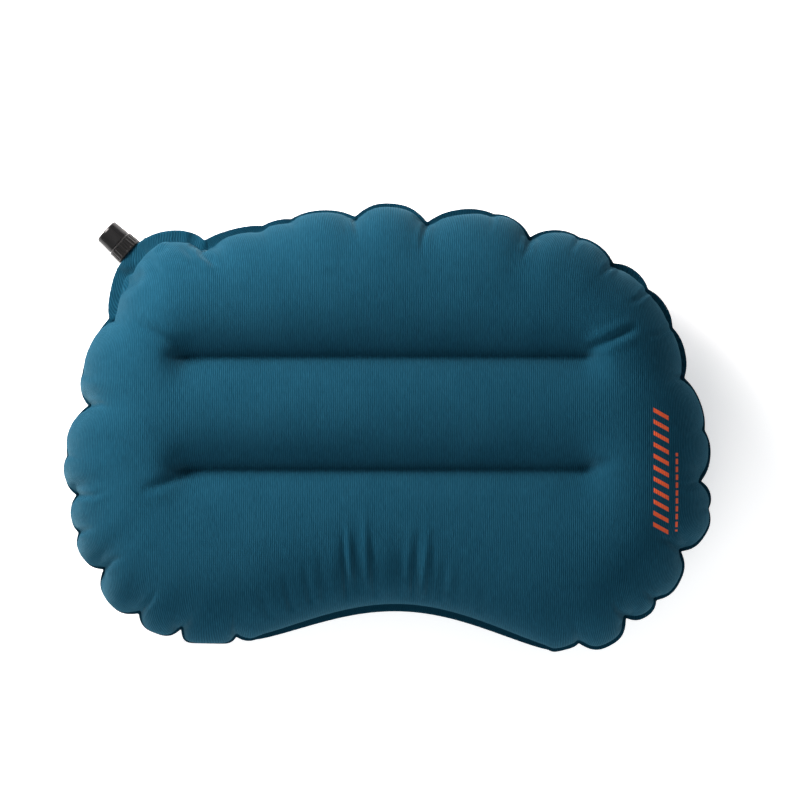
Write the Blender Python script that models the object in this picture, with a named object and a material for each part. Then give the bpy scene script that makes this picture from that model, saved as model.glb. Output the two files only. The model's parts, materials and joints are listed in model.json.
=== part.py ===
# Inflatable camp pillow: two sheets welded round a puckered edge, two inner
# webs (baffles), and a screw-open air valve at one corner.
# Metres. +Z is the thickness, the pillow lies flat on z = 0, the neck recess faces -Y.
import bpy
import numpy as np
from mathutils import Vector, Matrix, geometry
from math import pi, cos, sin, sqrt, atan2

for o in list(bpy.data.objects):
    bpy.data.objects.remove(o, do_unlink=True)

MM = 0.001
ZS = 49.0        # height of the weld seam, mm
WALL = 0.8       # laminate
FLANGE = 5.0     # welded flange outside the air chamber
GAP = 0.15       # half of the gap between the two flanges
CROWN = 50.05    # inner rise of a tube above the seam
RISE_AT_WEB = 18.0
CREASES = (44.2, -26.5)   # y of the two baffle welds
CREASE_X = (-122.5, 124.4)

# Pinch points of the puckered edge, clockwise from the valve, in mm:
# x, y, how far the scallop after it swells outward, seam height offset.
EDGE = [
    (-157.3, 115.6, 5.0, 0.0), (-121.0, 121.0, 0.5, 0.0), (-116.0, 118.0, 2.0, 3.0),
    (-79.0, 126.6, 1.4, -2.0), (-61.3, 130.8, 5.0, -2.0), (-20.8, 132.5, 10.4, 3.5),
    (24.8, 128.9, 5.5, 3.5), (67.2, 133.9, 4.2, -2.0), (89.6, 119.3, 4.8, 3.5),
    (121.3, 119.1, 3.5, -2.0), (142.2, 102.6, 4.7, 3.0), (164.1, 86.3, 4.1, 3.0),
    (179.5, 62.2, 4.5, 3.0), (187.4, 30.3, 4.0, 3.0), (200.2, -2.7, 5.0, -2.0),
    (197.8, -34.9, 3.9, 3.5), (202.7, -52.2, 7.5, -2.0), (185.3, -79.0, 8.3, 3.5),
    (169.9, -109.9, 6.2, 3.0), (150.5, -121.4, 11.0, 3.5), (120.3, -137.4, 2.2, 2.0),
    (101.3, -141.4, 0.0, 0.0), (-83.9, -135.0, 1.8, 0.0), (-95.6, -133.4, 7.0, 2.0),
    (-130.5, -128.9, 8.4, 3.5), (-157.4, -118.6, 10.8, 3.5), (-179.8, -90.3, 7.0, 3.5),
    (-195.4, -67.3, 4.6, 3.0), (-196.8, -43.6, 4.7, 3.5), (-202.8, -18.8, 4.9, -2.0),
    (-189.4, 12.9, 3.0, 3.5), (-193.3, 32.8, 2.8, -2.0), (-176.2, 68.0, 2.9, 3.0),
    (-168.7, 101.7, 0.0, 0.0),
]
CENTRE = np.array([1.3, 0.0])
SHIFT = np.array([0.18, 0.47, 0.0])   # brings the middle of the whole outline onto the origin


def neck(u):
    """The smooth recess for the neck, right corner to left corner."""
    a, b = np.array(EDGE[21][:2]), np.array(EDGE[22][:2])
    dip = 21.0 * sin(pi * min(max(u, 0), 1)) ** 1.25
    return a + (b - a) * u + np.array([0, dip])


edge, lift = [], []
for i, (x, y, swell, dz) in enumerate(EDGE):
    a, b = np.array([x, y]), np.array(EDGE[(i + 1) % len(EDGE)][:2])
    dz2 = EDGE[(i + 1) % len(EDGE)][3]
    long = np.linalg.norm(b - a)
    n = 16 if i == 21 else 1 if long < 9 else 4 if long < 24 or i == 33 else 5
    out = np.array([a[1] - b[1], b[0] - a[0]]) / long
    for k in range(n):
        u = k / n
        if i == 21:
            edge.append(neck(u))
            lift.append(0.0)
        else:
            edge.append(a + (b - a) * u + out * swell * (1 - abs(2 * u - 1) ** 2.4))
            lift.append((dz * (1 - u) ** 3 + dz2 * u**3) - (1.0 * sin(pi * u) if swell > 2.5 and dz + dz2 > 0 else 0))
edge, lift = np.array(edge), np.array(lift)
N = len(edge)

# A smoothed copy of the edge: rings far from the seam follow it.
smooth = edge.copy()
for _ in range(40):
    smooth = (np.roll(smooth, 1, 0) + 2 * smooth + np.roll(smooth, -1, 0)) / 4
smooth = CENTRE + (smooth - CENTRE) * 1.012

AX = np.array([-0.742, 0.670])
AX = AX / np.linalg.norm(AX)
SIDE = np.array([-AX[1], AX[0]])
V0 = np.array([-162.9, 109.5])


def boat(p):
    """Half height of the valve's boat at a point of the plan."""
    d = p - V0
    w, u = d @ AX, d @ SIDE
    if abs(u) >= 15:
        return 0.0
    along = 1.0 if w > -13 else max(0.0, 1 - (-13 - w) / 5.0)
    return along * 7.2 * cos(pi / 2 * u / 15) ** 1.3


def crease(x, y):
    """Depth of the baffle creases below the tube crowns."""
    t = min(abs(y - c) for c in CREASES)
    half = 35.35
    if t >= half:
        return 0.0
    r = (half**2 + RISE_AT_WEB**2) / (2 * RISE_AT_WEB)
    depth = RISE_AT_WEB - (sqrt(r * r - (half - t) ** 2) - (r - RISE_AT_WEB))
    over = max(CREASE_X[0] - x, x - CREASE_X[1], 0.0)
    k = min(over / 34.0, 1.0)
    return depth * (1 - k * k * (3 - 2 * k))


def rise(inset):
    """Inner rise over the seam, by distance inside the weld line."""
    k = min(max(inset, 0) / 50.0, 1.0)
    return CROWN * (1 - (1 - k) ** 2.2) ** (1 / 1.9)


INSETS = [0.0, FLANGE, 6.2, 9.0, 14.0, 21.0, 31.0, 43.0, 56.0]
plan, ring_of = [], []
for k, s in enumerate(INSETS):
    w = min(max((s - FLANGE) / 38.0, 0), 1) ** 0.7
    for j in range(N):
        if k >= 5 and j % 2:
            continue
        if k >= 7 and j % 4:
            continue
        r = edge[j] - CENTRE
        a = CENTRE + r * (1 - s / np.linalg.norm(r))
        r = smooth[j] - CENTRE
        b = CENTRE + r * (1 - s / np.linalg.norm(r))
        plan.append(a + (b - a) * w)
        ring_of.append((k, j))
hull = [p for p, (k, _) in zip(plan, ring_of) if k == len(INSETS) - 1]


def inside(p, loop, margin):
    best, odd = 1e9, False
    for i in range(len(loop)):
        a, b = loop[i], loop[(i + 1) % len(loop)]
        if (a[1] > p[1]) != (b[1] > p[1]) and p[0] < (b[0] - a[0]) * (p[1] - a[1]) / (b[1] - a[1]) + a[0]:
            odd = not odd
        t = min(max((p - a) @ (b - a) / ((b - a) @ (b - a)), 0), 1)
        best = min(best, np.linalg.norm(a + t * (b - a) - p))
    return odd and best > margin


first_inner = len(plan)
rows = sorted({round(c + s * d, 3) for c in CREASES for s in (-1, 1) for d in (0, 4, 10, 17, 25, 35.35)})
columns = [-152, -140, -130] + list(np.linspace(CREASE_X[0], CREASE_X[1], 19)) + [132, 141, 153]
fine_rows = {}
for y in rows:
    for x in columns:
        p = np.array([float(x), y])
        if inside(p, hull, 4.0):
            fine_rows.setdefault(y, []).append(len(plan))
            plan.append(p)
            ring_of.append((99, -1))
plan = np.array(plan)
ties = [(j, (j + 1) % N) for j in range(N)] + [(N + j, N + (j + 1) % N) for j in range(N)]
for c in CREASES:
    for row in (fine_rows[round(c + d, 3)] for d in (-4, 0, 4)):
        ties += [(a, b) for a, b in zip(row, row[1:])]
made = geometry.delaunay_2d_cdt([Vector(p) for p in plan], ties, [list(range(N))], 1, 1e-6)
assert len(made[0]) == len(plan)
back = {}
for new, old in enumerate(made[3]):
    back[new] = old[0]
tris = []
for f in made[2]:
    f = [back[i] for i in f]
    a, b, c = plan[f]
    area = (b[0] - a[0]) * (c[1] - a[1]) - (b[1] - a[1]) * (c[0] - a[0])
    tris.append(f if area > 0 else f[::-1])


def panel_points(up):
    """Inner surface of a sheet; up is +1 for the top, -1 for the bottom."""
    z = []
    for p, (k, j) in zip(plan, ring_of):
        s = INSETS[k] if k < 99 else 99.0
        seam = lift[j] * max(0.0, 1 - s / 30.0) if j >= 0 else 0.0
        h = rise(s - FLANGE)
        if s > 21:
            h -= crease(p[0], p[1])
        b = boat(p)
        level = ZS + seam + up * max(GAP + h, b + 0.3 if b > 0 else 0.0)
        if up < 0:
            level = max(level, WALL)
        z.append(level)
    return np.column_stack([plan, z])


def mesh_object(name, points, faces, colour):
    mesh = bpy.data.meshes.new(name)
    mesh.from_pydata([tuple(float(v) * MM for v in np.asarray(p, float) + SHIFT) for p in points], [], [tuple(int(i) for i in f) for f in faces])
    mesh.validate()
    mesh.update()
    o = bpy.data.objects.new(name, mesh)
    bpy.context.scene.collection.objects.link(o)
    paint(o, colour)
    return o


def paint(o, colour):
    base, rough, sheen = colour
    m = bpy.data.materials.new(o.name)
    m.use_nodes = True
    b = m.node_tree.nodes["Principled BSDF"]
    b.inputs["Base Color"].default_value = (*base, 1)
    b.inputs["Roughness"].default_value = rough
    b.inputs["Sheen Weight"].default_value = sheen
    m.diffuse_color = (*base, 1)
    o.data.materials.clear()
    o.data.materials.append(m)


TEAL = ((0.012, 0.075, 0.110), 0.6, 0.5)
DEEP = ((0.012, 0.060, 0.085), 0.65, 0.3)
FILM = ((0.35, 0.42, 0.44), 0.4, 0.0)
BLACK = ((0.012, 0.012, 0.013), 0.35, 0.0)
SOFT_BLACK = ((0.02, 0.02, 0.022), 0.55, 0.0)
RUBBER = ((0.03, 0.03, 0.03), 0.7, 0.0)


def panel(name, up, colour):
    inner = panel_points(up)
    normal = np.zeros_like(inner)
    for a, b, c in tris:
        n = np.cross(inner[b] - inner[a], inner[c] - inner[a])
        for i in (a, b, c):
            normal[i] += n
    normal /= np.linalg.norm(normal, axis=1)[:, None]
    for i, (k, j) in enumerate(ring_of):
        if k <= 1:
            normal[i] = (0, 0, 1)
    outer = inner + normal * WALL * up
    if up < 0:
        outer[:, 2] = np.maximum(outer[:, 2], 0.0)
        flat = inner[:, 2] <= WALL + 1e-9
        outer[flat, :2] = inner[flat, :2]
        outer[flat, 2] = 0.0
    else:
        outer[:, 2] = np.minimum(outer[:, 2], 100.0)
    m = len(plan)
    faces = []
    for a, b, c in tris:
        faces.append((m + a, m + b, m + c) if up > 0 else (m + a, m + c, m + b))
        faces.append((a, c, b) if up > 0 else (a, b, c))
    for j in range(N):
        k = (j + 1) % N
        q = (j, k, m + k, m + j)          # edge runs clockwise seen from above
        faces.append(q if up < 0 else q[::-1])
    o = mesh_object(name, np.vstack([inner, outer]), faces, colour)
    return o


top = panel("top_panel", 1, TEAL)
bottom = panel("bottom_panel", -1, DEEP)


def web(name, y):
    """A baffle: thin web with a weld wing each side, top and bottom, shaped to the crease."""
    top_z = ZS + GAP + CROWN - RISE_AT_WEB
    slope = (crease(0, y) - crease(0, y + 4)) / 4
    a, clear, t = 3.6, 0.75, 0.8
    up = [(-a, a * slope), (-a, a * slope - t), (-0.3, 0.3 * slope - t)]
    ring = [(u, top_z - clear + v) for u, v in up]
    ring += [(u, 2 * ZS - z) for u, z in ring[::-1]]
    ring += [(0.0, 2 * ZS - top_z + clear)]
    ring = ring + [(-u, z) for u, z in ring[-2::-1]] + [(0.0, top_z - clear)]
    ring = [(u, z) for u, z in ring]
    # The apex point closes the ring; the two ends of the web are rounded back a little.
    n = len(ring)
    stations = [(CREASE_X[0] + 2.5, 1.0), (CREASE_X[1] - 2.5, 1.0)]
    pts = [(x, y + u, z) for x, _ in stations for u, z in ring]
    faces = [tuple(range(n)), tuple(range(2 * n - 1, n - 1, -1))]
    faces += [(i, i + n, (i + 1) % n + n, (i + 1) % n) for i in range(n)]
    o = mesh_object(name, pts, faces, FILM)
    return o


def outward(o):
    import bmesh
    bm = bmesh.new()
    bm.from_mesh(o.data)
    bmesh.ops.recalc_face_normals(bm, faces=bm.faces)
    bmesh.ops.triangulate(bm, faces=bm.faces, quad_method="FIXED", ngon_method="EAR_CLIP")
    bm.to_mesh(o.data)
    bm.free()
    return o


outward(web("upper_baffle", CREASES[0]))
outward(web("lower_baffle", CREASES[1]))

TO_VALVE = Matrix((
    (SIDE[0], 0.0, AX[0], V0[0]),
    (SIDE[1], 0.0, AX[1], V0[1]),
    (0.0, 1.0, 0.0, ZS),
    (0, 0, 0, 1),
))


def place(p):
    q = TO_VALVE @ Vector((p[0], p[1], p[2]))
    return (q.x, q.y, q.z)


def turned(name, profile, colour, steps=48, flute=None):
    """A closed profile of (along, radius) turned about the valve axis."""
    pts, faces, n = [], [], len(profile)
    for k in range(steps):
        a = 2 * pi * k / steps
        for i, (w, r) in enumerate(profile):
            rr = r + (flute(k, i) if flute else 0.0)
            pts.append(place((rr * cos(a), rr * sin(a), w)))
    for k in range(steps):
        for i in range(n):
            j, l = (i + 1) % n, (k + 1) % steps
            faces.append((k * n + i, k * n + j, l * n + j, l * n + i))
    return outward(mesh_object(name, pts, faces, colour))


def boolean(o, other, operation):
    m = o.modifiers.new(operation.lower(), "BOOLEAN")
    m.operation, m.solver, m.object = operation, "EXACT", other
    other.hide_render = True
    other.display_type = "WIRE"


# Moulded base: a boat that tapers to thin edges, with a tube inside the chamber.
steps, half = 24, 13.6
ring = []
for k in range(steps + 1):
    u = -half + 2 * half * k / steps
    ring.append((u, 0.35 + 6.9 * cos(pi / 2 * u / 15) ** 1.3 - 0.35))
loop = [(u, h) for u, h in ring] + [(u, -h) for u, h in ring[::-1]]
pts, faces, n = [], [], len(loop)
for w, k in ((-11.5, 0.8), (-9.0, 1.0), (-0.6, 1.0)):
    pts += [place((u, h * k, w)) for u, h in loop]
faces += [tuple(range(n)), tuple(range(3 * n - 1, 2 * n - 1, -1))]
for s in range(2):
    faces += [(s * n + i, s * n + (i + 1) % n, (s + 1) * n + (i + 1) % n, (s + 1) * n + i) for i in range(n)]
base = outward(mesh_object("valve_base", pts, faces, SOFT_BLACK))
sleeve = turned("base_tube", [(-24.0, 0.02), (-24.0, 6.6), (-23.0, 7.0), (-9.5, 7.0), (-9.5, 0.02)], SOFT_BLACK)
hole = turned("base_bore", [(-30.0, 0.01), (-30.0, 5.3), (3.0, 5.3), (3.0, 0.01)], SOFT_BLACK)
for o in (sleeve, hole):
    pass


def plug(name, w0, w1, r, colour=SOFT_BLACK, steps=48, r2=None, at=(0, 0)):
    """A solid cylinder or cone along the valve axis."""
    r2 = r if r2 is None else r2
    pts = [place((at[0] + r * cos(2 * pi * k / steps), at[1] + r * sin(2 * pi * k / steps), w0)) for k in range(steps)]
    pts += [place((at[0] + r2 * cos(2 * pi * k / steps), at[1] + r2 * sin(2 * pi * k / steps), w1)) for k in range(steps)]
    faces = [tuple(range(steps)), tuple(range(2 * steps - 1, steps - 1, -1))]
    faces += [(k, (k + 1) % steps, (k + 1) % steps + steps, k + steps) for k in range(steps)]
    return outward(mesh_object(name, pts, faces, colour))


for o in (sleeve, hole):
    bpy.data.objects.remove(o, do_unlink=True)
sleeve = plug("base_tube", -24.0, -9.3, 6.9)
hole = plug("base_bore", -30.0, 3.0, 5.3)
boolean(base, sleeve, "UNION")
boolean(base, hole, "DIFFERENCE")

# Barrel: stem in the base, wide ribbed collar outside, threaded nipple with a centre plug on spokes.
body = turned("valve_body", [
    (-20.0, 3.7), (-20.0, 4.6), (-19.2, 5.0), (-0.2, 5.0), (0.2, 9.1), (0.6, 9.4), (1.4, 9.4), (1.8, 9.4), (7.4, 9.1),
    (7.8, 9.1), (8.5, 9.0), (8.9, 8.6), (8.9, 5.2), (10.8, 5.2), (10.8, 5.75), (16.0, 5.75), (16.4, 5.4), (16.4, 3.7),
], BLACK, 60, lambda k, i: -0.28 * (k % 3 == 0) if i in (7, 8) else 0.0)
pin = plug("centre_pin", 11.5, 18.6, 1.9, steps=32)
boolean(body, pin, "UNION")
for k in range(3):
    a = 2 * pi * k / 3 + 0.4
    pts = []
    for w in (11.9, 14.9):
        for r, s in ((1.0, -0.7), (4.4, -0.7), (4.4, 0.7), (1.0, 0.7)):
            pts.append(place((r * cos(a) - s * sin(a), r * sin(a) + s * cos(a), w)))
    spoke = outward(mesh_object(f"spoke_{k}", pts, [(0, 1, 2, 3), (7, 6, 5, 4), (0, 4, 5, 1), (1, 5, 6, 2), (2, 6, 7, 3), (3, 7, 4, 0)], BLACK))
    boolean(body, spoke, "UNION")

# Thread: one start, 4 mm pitch, just under a full turn, as a swept ridge.
PITCH = 4.0


def helix(name, r0, r1, w0, turns, thick, start, steps, colour=BLACK):
    pts, faces = [], []
    for k in range(steps + 1):
        u = k / steps
        a, w = start + 2 * pi * turns * u, w0 + PITCH * turns * u
        for r, dw in ((r0, -thick / 2), (r1, -thick / 2 + 0.25), (r1, thick / 2 - 0.25), (r0, thick / 2)):
            pts.append(place((r * cos(a), r * sin(a), w + dw)))
    for k in range(steps):
        for i in range(4):
            j = (i + 1) % 4
            faces.append((4 * k + i, 4 * k + j, 4 * k + 4 + j, 4 * k + 4 + i))
    faces += [(0, 3, 2, 1), (4 * steps, 4 * steps + 1, 4 * steps + 2, 4 * steps + 3)]
    return outward(mesh_object(name, pts, faces, colour))


thread = helix("thread", 5.5, 6.35, 12.1, 0.75, 1.0, 0.3, 20)
boolean(body, thread, "UNION")

# Cap: tapered cup with a thick wall and an air hole in its end.
cap = turned("valve_cap", [
    (9.2, 6.7), (9.2, 8.25), (9.5, 8.5), (10.5, 8.5), (19.5, 8.05), (20.3, 7.75), (20.7, 7.2), (20.7, 2.9), (20.3, 2.35), (18.0, 2.35), (18.0, 6.7),
], BLACK)
# The lug sits just below the thread's end and climbs with the cap.
lug = helix("cap_lug", 6.0 + 0.1, 6.95, 14.1, 0.06, 0.9, 0.3 + 2 * pi * 0.0, 4)
bpy.data.objects.remove(lug, do_unlink=True)
lug = helix("cap_lug", 6.05, 6.95, 9.9, 0.06, 0.8, 0.3, 4)
boolean(cap, lug, "UNION")


def torus(name, w, r, t, colour=RUBBER, steps=40, sides=8):
    return turned(name, [(w + t * cos(2 * pi * i / sides), r + t * sin(2 * pi * i / sides)) for i in range(sides)], colour, steps)


# torus() above gives round rings: one in the barrel's groove, one on the plug.
torus("cap_o_ring", 17.15, 5.9, 0.55)
torus("plug_o_ring", 17.2, 2.55, 0.35, steps=32)
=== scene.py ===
"""Looks of the inflatable camp pillow: two pressurised knit-faced sheets with a puckered welded
flange, two baffle creases, a neck recess, and a black twist valve at one corner."""
import bpy
import json
import numpy as np
from math import pi, cos, sin, sqrt
from mathutils import Matrix, Vector

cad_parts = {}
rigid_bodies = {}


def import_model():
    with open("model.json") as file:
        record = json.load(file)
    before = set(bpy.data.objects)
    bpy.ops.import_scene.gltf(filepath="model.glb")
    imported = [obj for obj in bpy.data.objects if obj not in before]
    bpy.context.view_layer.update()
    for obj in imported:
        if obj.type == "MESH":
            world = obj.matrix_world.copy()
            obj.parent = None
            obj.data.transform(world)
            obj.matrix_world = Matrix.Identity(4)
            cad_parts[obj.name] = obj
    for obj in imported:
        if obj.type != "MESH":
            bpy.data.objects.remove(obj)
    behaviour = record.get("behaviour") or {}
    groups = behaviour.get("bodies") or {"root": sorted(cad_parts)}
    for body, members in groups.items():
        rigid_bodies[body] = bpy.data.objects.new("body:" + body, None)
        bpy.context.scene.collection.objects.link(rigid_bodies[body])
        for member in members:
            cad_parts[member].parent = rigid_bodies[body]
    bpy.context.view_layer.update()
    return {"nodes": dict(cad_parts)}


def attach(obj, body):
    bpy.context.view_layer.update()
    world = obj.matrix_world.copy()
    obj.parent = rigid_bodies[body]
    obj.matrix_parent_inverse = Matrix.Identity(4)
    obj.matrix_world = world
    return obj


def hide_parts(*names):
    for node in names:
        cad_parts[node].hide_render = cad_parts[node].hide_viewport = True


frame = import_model()
for o in list(bpy.data.objects):
    if o.type in ("LIGHT", "CAMERA") or o.name == "Cube":
        bpy.data.objects.remove(o, do_unlink=True)

MM = 0.001
SHIFT = np.array([0.18, 0.47, 0.0])
ZS = 49.0
CROWN = 50.9
WEB_DROP = 18.0
CREASES = (43.2, -26.5)
CREASE_X = (-128.5, 125.5)
HALF_TUBE = (CREASES[0] - CREASES[1]) / 2
CENTRE = np.array([1.3, 0.0])

# Pinch points of the welded edge, clockwise from the valve, in mm:
# x, y, swell of the scallop after it, seam height, pinch strength, flange width in the scallop.
EDGE = [
    (-157.3, 115.6, 5.0, 0.0, 0.0, 9.0), (-121.0, 121.0, 0.5, 0.0, 0.2, 7.0), (-116.0, 117.0, 2.6, 3.5, 1.0, 5.5),
    (-79.0, 126.6, 1.4, -2.0, 0.3, 4.0), (-61.3, 130.8, 5.0, -2.0, 0.3, 2.8), (-20.8, 132.0, 10.4, 4.0, 1.0, 3.5),
    (24.8, 128.4, 5.7, 4.0, 1.0, 4.8), (67.2, 133.9, 4.2, -2.0, 0.4, 2.2), (89.6, 119.0, 4.8, 4.0, 1.0, 3.0),
    (121.3, 119.1, 3.5, -2.0, 0.4, 3.0), (142.2, 102.6, 4.7, 3.0, 0.8, 6.0), (164.1, 86.3, 4.1, 3.0, 0.8, 6.0),
    (179.5, 62.2, 4.5, 3.0, 0.8, 5.5), (187.0, 30.3, 4.0, 3.0, 0.9, 3.2), (200.2, -2.7, 5.0, -2.0, 0.4, 3.5),
    (197.4, -34.9, 3.9, 4.0, 1.0, 3.5), (202.7, -52.2, 7.5, -2.0, 0.4, 3.2), (184.8, -79.0, 8.3, 4.0, 1.0, 3.6),
    (169.4, -109.9, 6.2, 3.0, 0.9, 4.0), (150.1, -121.0, 11.0, 4.0, 1.0, 3.6), (120.3, -137.0, 2.4, 2.0, 0.6, 3.0),
    (101.3, -141.4, 0.0, 0.0, 0.1, 5.5), (-83.9, -135.0, 1.8, 0.0, 0.1, 2.2), (-95.6, -132.9, 7.0, 2.0, 0.7, 1.6),
    (-130.5, -128.0, 8.4, 4.0, 1.0, 1.4), (-157.2, -118.2, 10.8, 4.0, 1.0, 1.4), (-179.4, -90.3, 7.0, 4.0, 1.0, 1.4),
    (-195.2, -67.3, 4.6, 3.0, 0.8, 1.4), (-196.3, -43.6, 4.7, 4.0, 1.0, 1.4), (-202.8, -18.8, 4.9, -2.0, 0.4, 1.4),
    (-188.9, 12.9, 3.0, 4.0, 1.0, 1.4), (-193.3, 32.8, 2.8, -2.0, 0.3, 1.4), (-175.9, 68.0, 2.9, 3.0, 0.8, 7.5),
    (-169.1, 102.1, 0.3, 0.0, 0.0, 9.0),
]
NECK = 21
NOTCH_FLANGE = {33: 8.5, 0: 9.0, 1: 7.5, 2: 8.0, 32: 3.5, 21: 3.0, 22: 3.0, 3: 3.0}   # wider flange at these pinch points
LEAN = {23: 0.30, 20: 0.12}                            # scallops deeper towards their second pinch point
BOXY = {32: 3.0, 23: 9.0, 24: 3.5, 25: 3.1, 26: 3.1, 27: 2.8, 28: 2.8, 22: 2.6, 20: 5.0, 19: 3.0, 18: 2.8, 17: 2.8, 16: 2.8, 5: 2.5}
AX = np.array([-0.742, 0.670])
AX = AX / np.linalg.norm(AX)
SIDE = np.array([-AX[1], AX[0]])
V0 = np.array([-162.9, 109.5])

# ---------------------------------------------------------------- seam curve
STEP = 2.5


def seam():
    """The welded outline as dense samples: position, height, pinch, flange width, which scallop."""
    dense = []
    for i, (x, y, swell, dz, pinch, wide) in enumerate(EDGE):
        nxt = EDGE[(i + 1) % len(EDGE)]
        a, b = np.array([x, y]), np.array(nxt[:2])
        long = np.linalg.norm(b - a)
        out = np.array([a[1] - b[1], b[0] - a[0]]) / long
        us = np.linspace(0, 1, 200)
        if i == NECK:
            pts = a + (b - a) * us[:, None]
            pts[:, 1] += 21.0 * np.sin(pi * us) ** 1.25
        else:
            pts = a + (b - a) * us[:, None] + out * (swell * (1 + LEAN.get(i, 0.0) * (2 * us - 1)) * (1 - np.abs(2 * us - 1) ** BOXY.get(i, 2.3)))[:, None]
        cut = np.concatenate([[0], np.cumsum(np.linalg.norm(np.diff(pts, axis=0), axis=1))])
        dense.append((us, pts, cut))
    total = sum(c[-1] for _, _, c in dense)
    count = int(round(total / STEP / 4)) * 4
    ends = np.round(np.cumsum([0] + [c[-1] for _, _, c in dense]) / total * count).astype(int)
    P, Z, K, W, IN, U = [], [], [], [], [], []
    for i, (us, pts, cut) in enumerate(dense):
        m = ends[i + 1] - ends[i]
        nxt = EDGE[(i + 1) % len(EDGE)]
        for k in range(m):
            t = k / m
            crowd = 0.0 if i == NECK else 0.5            # samples crowd towards the notches
            s = cut[-1] * (t - crowd * sin(2 * pi * t) / (2 * pi))
            u = float(np.interp(s, cut, us))
            P.append([np.interp(u, us, pts[:, 0]), np.interp(u, us, pts[:, 1])])
            dz, dz2 = EDGE[i][3], nxt[3]
            w0, w1 = (1 - u) ** 3.2, u**3.2
            Z.append(dz * w0 + dz2 * w1)
            far0, far1 = s, cut[-1] - s
            K.append(EDGE[i][4] * np.exp(-(far0 / 4.2) ** 1.15) + nxt[4] * np.exp(-(far1 / 4.2) ** 1.15))
            w0, w1 = NOTCH_FLANGE.get(i, 1.7), NOTCH_FLANGE.get((i + 1) % len(EDGE), 1.7)
            edge_w = w0 * (1 - u) + w1 * u
            W.append(edge_w + (EDGE[i][5] - edge_w) * sin(pi * u) ** 0.6)
            IN.append(i)
            U.append(u)
    return np.array(P), np.array(Z), np.array(K), np.array(W), np.array(IN), np.array(U), ends


P, SZ, PINCH, WIDE, WHICH, AT, ENDS = seam()
N = len(P)


def loop_smooth(a, times):
    a = a.copy()
    for _ in range(times):
        a = (np.roll(a, 1, 0) + 2 * a + np.roll(a, -1, 0)) / 4
    return a


SOFT = loop_smooth(P, 260)
SOFT = CENTRE + (SOFT - CENTRE) * 1.018
tangent = np.roll(loop_smooth(P, 3), -1, 0) - np.roll(loop_smooth(P, 3), 1, 0)
tangent /= np.linalg.norm(tangent, axis=1)[:, None]
INWARD = np.column_stack([tangent[:, 1], -tangent[:, 0]])
if ((CENTRE - P) * INWARD).sum() < 0:
    INWARD = -INWARD
print("seam samples", N)

# ---------------------------------------------------------------- grid of one sheet
FIRST = int(round((ENDS[33] + ENDS[34]) / 2))        # seam sample at the valve
NX = int(round(0.288 * N))
NY = N // 2 - NX
LAYERS = 30
FLAPS = 3                                             # rows across the welded flange


def boat(p):
    """Half height of the moulded valve base at points of the plan."""
    d = np.asarray(p) - V0
    w, u = d @ AX, d @ SIDE
    along = np.clip(1 - (-13 - w) / 5.0, 0, 1)
    return np.where(np.abs(u) < 15, along * 7.2 * np.cos(pi / 2 * np.clip(u / 15, -1, 1)) ** 1.3, 0.0)


def under(p):
    """Half height of everything of the valve that lies inside the pillow: the moulded base and its sleeve."""
    d = np.asarray(p) - V0
    w, u = d @ AX, d @ SIDE
    sleeve = np.where((w > -26) & (w < -7), np.sqrt(np.maximum(7.6**2 - u**2, 0)), 0.0)
    return np.maximum(boat(p), sleeve)


def crease_drop(x, y):
    t = np.minimum(np.abs(y - CREASES[0]), np.abs(y - CREASES[1]))
    half = HALF_TUBE
    r = (half**2 + WEB_DROP**2) / (2 * WEB_DROP)
    d = WEB_DROP - (np.sqrt(np.maximum(r * r - np.maximum(half - t, 0) ** 2, 0)) - (r - WEB_DROP))
    d = np.where(t < half, d, 0)
    over = np.maximum(np.maximum(CREASE_X[0] + 3 - x, x - CREASE_X[1] + 3), 0)
    k = np.minimum(over / 16.0, 1)
    return d * (1 - k * k * (3 - 2 * k))


def dome(s, radius=50.0):
    """Height of the sheet over the seam at a plan distance s inside the weld."""
    k = np.clip(s / radius, 0, 1)
    return CROWN * np.sqrt(np.maximum(1 - (1 - k) ** 2, 0))


def block_rows():
    """Row heights of the inner block, closer together where the tubes are steep, with one row on each crease."""
    ys = np.linspace(-72, 76, 4000)
    z = -crease_drop(np.zeros_like(ys), ys)
    arc = np.concatenate([[0], np.cumsum(np.hypot(np.diff(ys), np.diff(z)))])
    at = np.interp([CREASES[1], CREASES[0]], ys, arc)
    k = np.round(at / arc[-1] * NY).astype(int)
    stops = [0, k[0], k[1], NY]
    marks = [0, at[0], at[1], arc[-1]]
    lines = np.interp(np.interp(np.arange(NY + 1), stops, marks), arc, ys)
    return lines, k


ROWS, CREASE_ROW = block_rows()


def build_grid():
    """Plan positions block[row, column] and the block's rim as (row, column) pairs in order; ring layer LAYERS is the
    block's rim.
    """
    u = np.linspace(0, 1, NX + 1)
    block = np.zeros((NY + 1, NX + 1, 2))
    for r, y in enumerate(ROWS):
        v = (y + 72) / 148.0
        left, right = -148 + 9 * v - 3.0 * sin(pi * v), 143 - 10 * v + 8.0 * sin(pi * v)
        block[r, :, 0] = left + (right - left) * u
        top_tilt = max(0.0, (y - CREASES[0]) / (76 - CREASES[0]))
        low_tilt = max(0.0, (CREASES[1] - y) / (72 + CREASES[1]))
        block[r, :, 1] = y + top_tilt * (5.0 * np.sin(pi * u) - 4.0 * u) + low_tilt * (4.0 * np.sin(pi * u) ** 2)
    rim = []
    for c in range(NX):
        rim.append((NY, c))
    for r in range(NY, 0, -1):
        rim.append((r, NX))
    for c in range(NX, 0, -1):
        rim.append((0, c))
    for r in range(0, NY):
        rim.append((r, 0))
    return block, rim


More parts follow.
